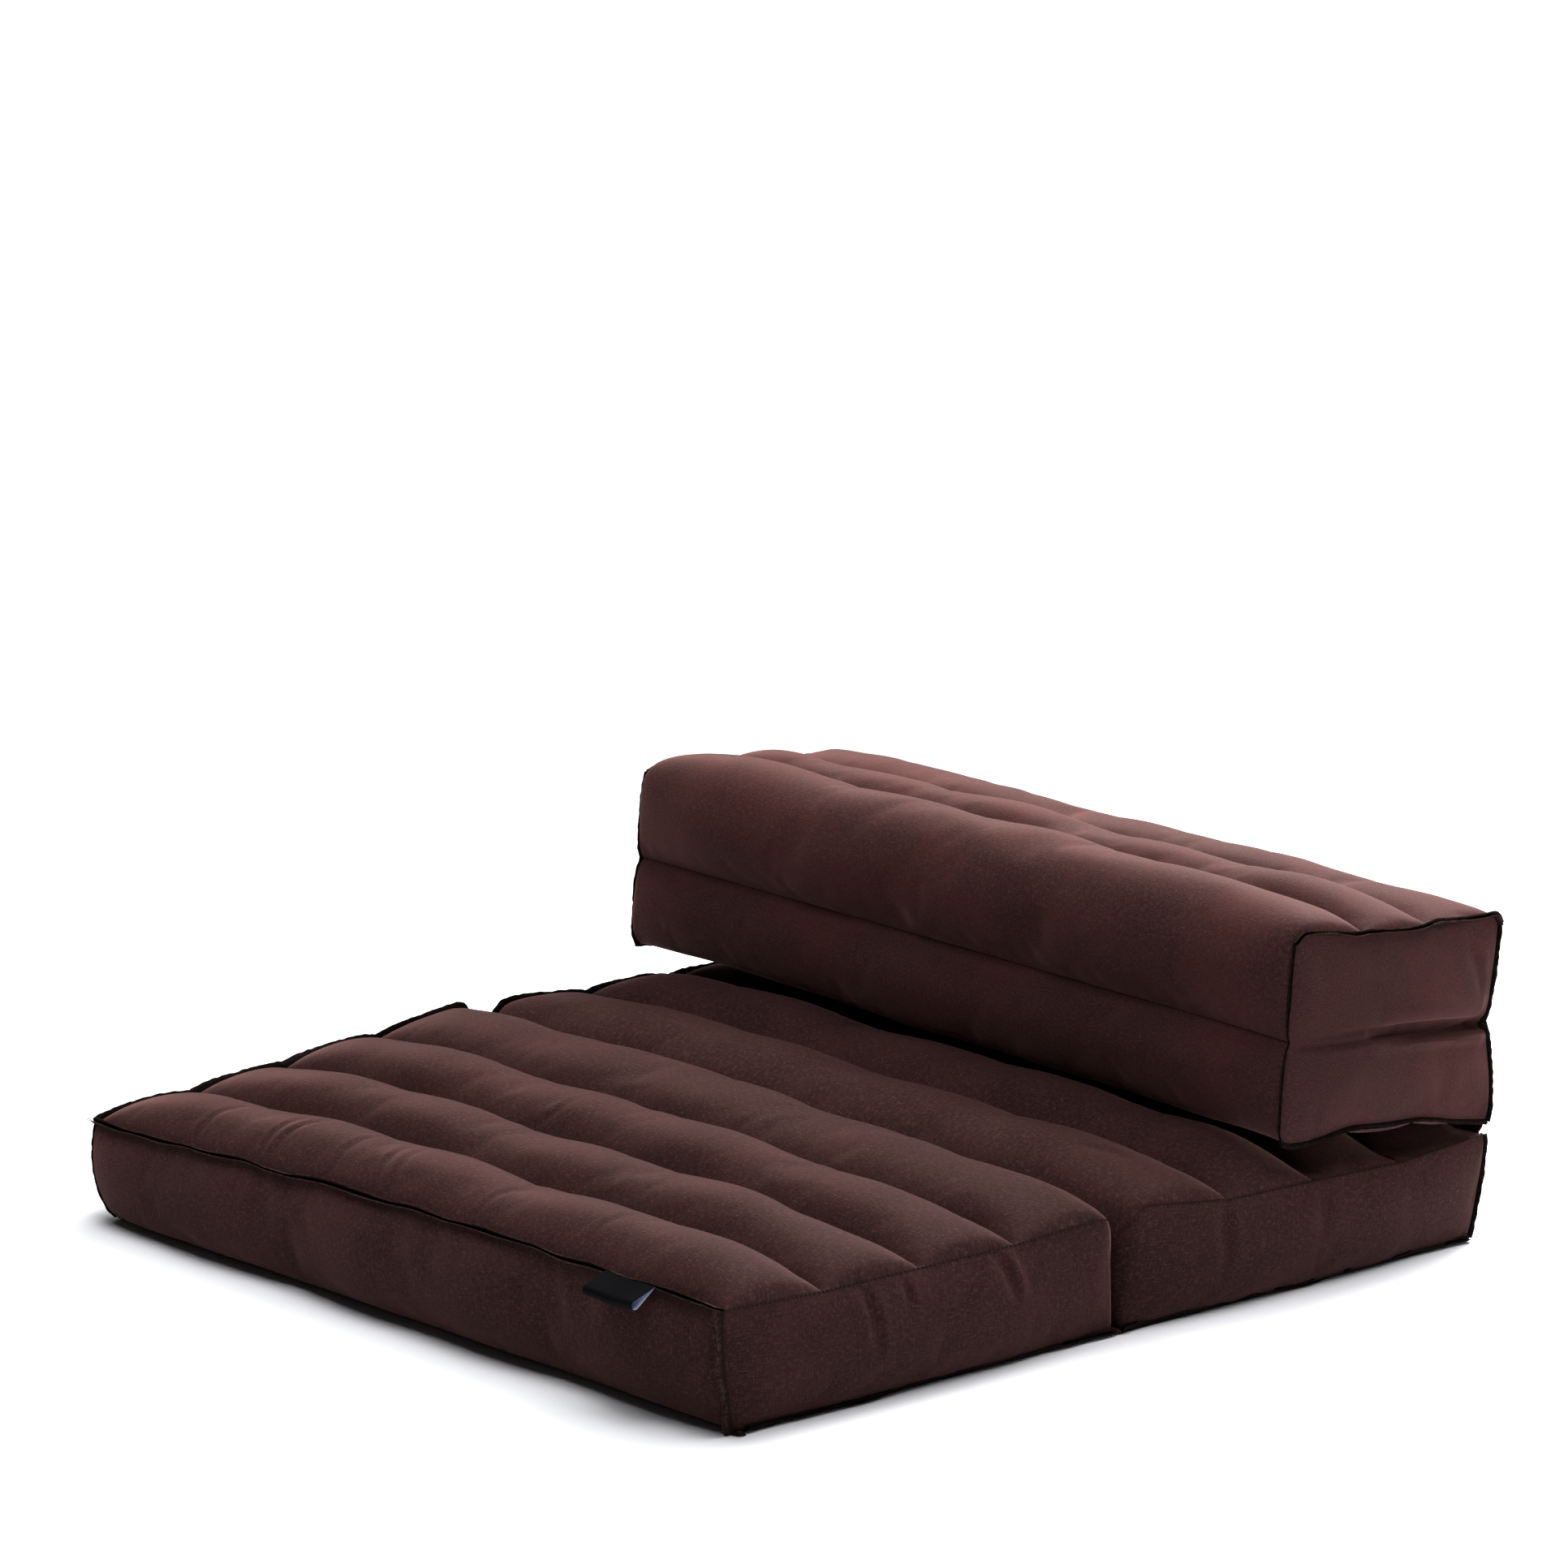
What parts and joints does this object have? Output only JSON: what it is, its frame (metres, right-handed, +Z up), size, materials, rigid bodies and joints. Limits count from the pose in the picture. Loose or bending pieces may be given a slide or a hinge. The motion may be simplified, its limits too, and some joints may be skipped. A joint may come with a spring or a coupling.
{
  "type": "folding floor mattress",
  "caption": "Folding floor mattress of channelled, filled brown cotton: flat seat cushions sewn in line, with a thicker block folded back at the rear as a low backrest.",
  "frame": {"origin": "on the floor, under the middle of the mattress's box", "axes": "+X along the filled channels to the end nearer the camera, +Y from the front edge to the folded-back block, +Z up"},
  "size_m": [0.7168, 0.7482, 0.2758],
  "materials": {
    "cushion_cotton": "matt plain weave",
    "block_cotton": "matt plain weave",
    "hinge_cotton": "matt plain weave",
    "label_weave": "fine satin weave"
  },
  "bodies": {
    "root": {"front_cushion": "cushion_cotton", "rear_cushion": "cushion_cotton", "back_block": "block_cotton", "fold_hinge": "hinge_cotton", "back_hinge": "hinge_cotton", "label": "label_weave"}
  },
  "joints": []
}
